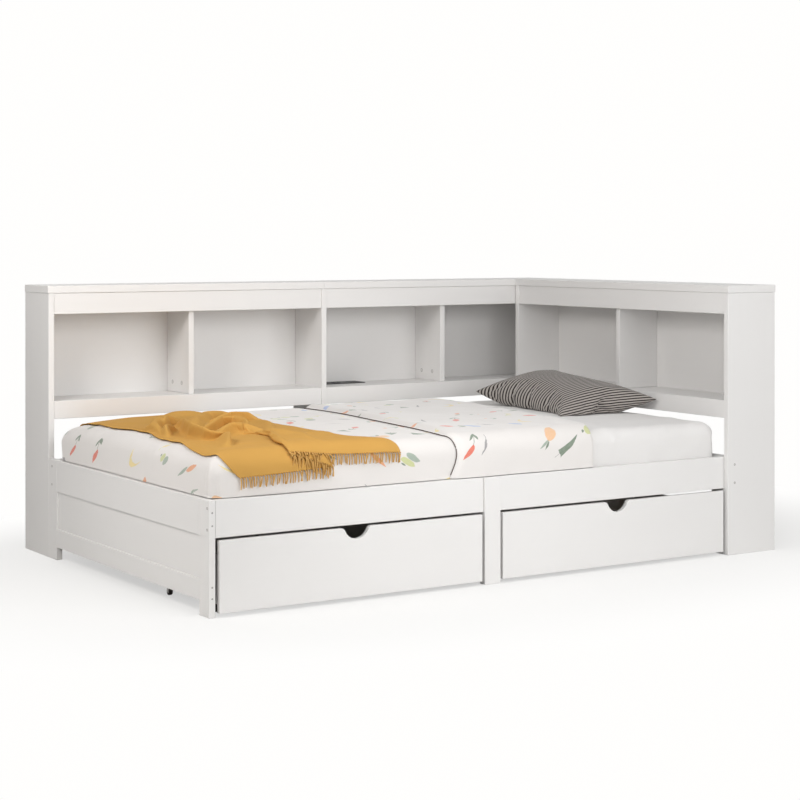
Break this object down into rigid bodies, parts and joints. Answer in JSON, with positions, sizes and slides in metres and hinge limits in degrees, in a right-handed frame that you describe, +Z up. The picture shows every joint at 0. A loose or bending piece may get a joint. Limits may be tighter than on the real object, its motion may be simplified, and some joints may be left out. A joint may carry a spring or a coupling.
{
  "type": "storage bed",
  "caption": "White bed with open bookcases along its wall side and head, two rolling under-bed drawers, slats, mattress, duvet, throw and pillow.",
  "frame": {"origin": "middle of the footprint's bounding box, on the floor", "axes": "+X from foot to head, +Y from the open front to the wall side, +Z up"},
  "size_m": [2.271, 1.522, 0.962],
  "materials": {
    "white_paint": "satin white paint on board",
    "rear_board": "white laminated rear panel",
    "slat_wood": "bare pale softwood",
    "wheel": "matt dark tread",
    "sheet": "white cotton sheet",
    "duvet_print": null,
    "throw_weave": "mustard wool-like weave with a fringe",
    "pillow_stripe": "dark grey and pale grey ticking stripe",
    "black_plastic": "matt black moulding"
  },
  "bodies": {
    "bed_frame": {"left_end_panel": "white_paint", "centre_panel": "white_paint", "right_end_panel": "white_paint", "back_top_board_left": "white_paint", "back_top_board_right": "white_paint", "back_fascia_left": "white_paint", "back_fascia_right": "white_paint", "back_apron_left": "white_paint", "back_apron_right": "white_paint", "back_shelf_left": "white_paint", "back_shelf_right": "white_paint", "back_divider_left": "white_paint", "back_divider_right": "white_paint", "back_rear_panel_left": "rear_board", "back_rear_panel_right": "rear_board", "head_front_end_panel": "white_paint", "head_rear_end_panel": "white_paint", "head_top_board": "white_paint", "head_fascia": "white_paint", "head_apron": "white_paint", "head_shelf": "white_paint", "head_divider": "white_paint", "head_rear_panel": "rear_board", "foot_post_front": "white_paint", "foot_post_back": "white_paint", "foot_top_rail": "white_paint", "foot_bottom_rail": "white_paint", "foot_inset_panel": "white_paint", "head_post_front": "white_paint", "head_post_back": "white_paint", "head_rail": "white_paint", "front_rail_left": "white_paint", "front_rail_right": "white_paint", "centre_leg": "white_paint", "back_rail": "white_paint", "slat_roll": "slat_wood", "centre_beam": "slat_wood", "power_strip": "black_plastic", "mattress": "sheet", "duvet": "duvet_print", "throw_blanket": "throw_weave", "pillow": "pillow_stripe"},
    "left_drawer": {"drawer_left_front": "white_paint", "drawer_left_side_foot": "white_paint", "drawer_left_side_head": "white_paint", "drawer_left_back": "white_paint", "drawer_left_bottom": "white_paint"},
    "right_drawer": {"drawer_right_front": "white_paint", "drawer_right_side_foot": "white_paint", "drawer_right_side_head": "white_paint", "drawer_right_back": "white_paint", "drawer_right_bottom": "white_paint"},
    "left_wheel_front_foot": {"drawer_left_wheel_front_foot": "wheel"},
    "left_wheel_rear_foot": {"drawer_left_wheel_rear_foot": "wheel"},
    "left_wheel_front_head": {"drawer_left_wheel_front_head": "wheel"},
    "left_wheel_rear_head": {"drawer_left_wheel_rear_head": "wheel"},
    "right_wheel_front_foot": {"drawer_right_wheel_front_foot": "wheel"},
    "right_wheel_rear_foot": {"drawer_right_wheel_rear_foot": "wheel"},
    "right_wheel_front_head": {"drawer_right_wheel_front_head": "wheel"},
    "right_wheel_rear_head": {"drawer_right_wheel_rear_head": "wheel"}
  },
  "joints": [
    {"name": "left_drawer_slide", "type": "slide", "parent": "bed_frame", "child": "left_drawer", "axis": [0, -1, 0], "range_m": [0, 0.45]},
    {"name": "right_drawer_slide", "type": "slide", "parent": "bed_frame", "child": "right_drawer", "axis": [0, -1, 0], "range_m": [0, 0.45]},
    {"name": "left_wheel_front_foot_spin", "type": "hinge", "parent": "left_drawer", "child": "left_wheel_front_foot", "pos_m": [-1.0725, -0.6586, 0.0125], "axis": [1, 0, 0], "continuous": true},
    {"name": "left_wheel_rear_foot_spin", "type": "hinge", "parent": "left_drawer", "child": "left_wheel_rear_foot", "pos_m": [-1.0725, -0.3369, 0.0125], "axis": [1, 0, 0], "continuous": true},
    {"name": "left_wheel_front_head_spin", "type": "hinge", "parent": "left_drawer", "child": "left_wheel_front_head", "pos_m": [-0.1795, -0.6586, 0.0125], "axis": [1, 0, 0], "continuous": true},
    {"name": "left_wheel_rear_head_spin", "type": "hinge", "parent": "left_drawer", "child": "left_wheel_rear_head", "pos_m": [-0.1795, -0.3369, 0.0125], "axis": [1, 0, 0], "continuous": true},
    {"name": "right_wheel_front_foot_spin", "type": "hinge", "parent": "right_drawer", "child": "right_wheel_front_foot", "pos_m": [-0.038, -0.6586, 0.0125], "axis": [1, 0, 0], "continuous": true},
    {"name": "right_wheel_rear_foot_spin", "type": "hinge", "parent": "right_drawer", "child": "right_wheel_rear_foot", "pos_m": [-0.038, -0.3369, 0.0125], "axis": [1, 0, 0], "continuous": true},
    {"name": "right_wheel_front_head_spin", "type": "hinge", "parent": "right_drawer", "child": "right_wheel_front_head", "pos_m": [0.867, -0.6586, 0.0125], "axis": [1, 0, 0], "continuous": true},
    {"name": "right_wheel_rear_head_spin", "type": "hinge", "parent": "right_drawer", "child": "right_wheel_rear_head", "pos_m": [0.867, -0.3369, 0.0125], "axis": [1, 0, 0], "continuous": true}
  ],
  "couplings": [
    {"joint": "left_wheel_front_foot_spin", "follows": "left_drawer_slide", "rad_per_m": 80},
    {"joint": "left_wheel_rear_foot_spin", "follows": "left_drawer_slide", "rad_per_m": 80},
    {"joint": "left_wheel_front_head_spin", "follows": "left_drawer_slide", "rad_per_m": 80},
    {"joint": "left_wheel_rear_head_spin", "follows": "left_drawer_slide", "rad_per_m": 80},
    {"joint": "right_wheel_front_foot_spin", "follows": "right_drawer_slide", "rad_per_m": 80},
    {"joint": "right_wheel_rear_foot_spin", "follows": "right_drawer_slide", "rad_per_m": 80},
    {"joint": "right_wheel_front_head_spin", "follows": "right_drawer_slide", "rad_per_m": 80},
    {"joint": "right_wheel_rear_head_spin", "follows": "right_drawer_slide", "rad_per_m": 80}
  ]
}
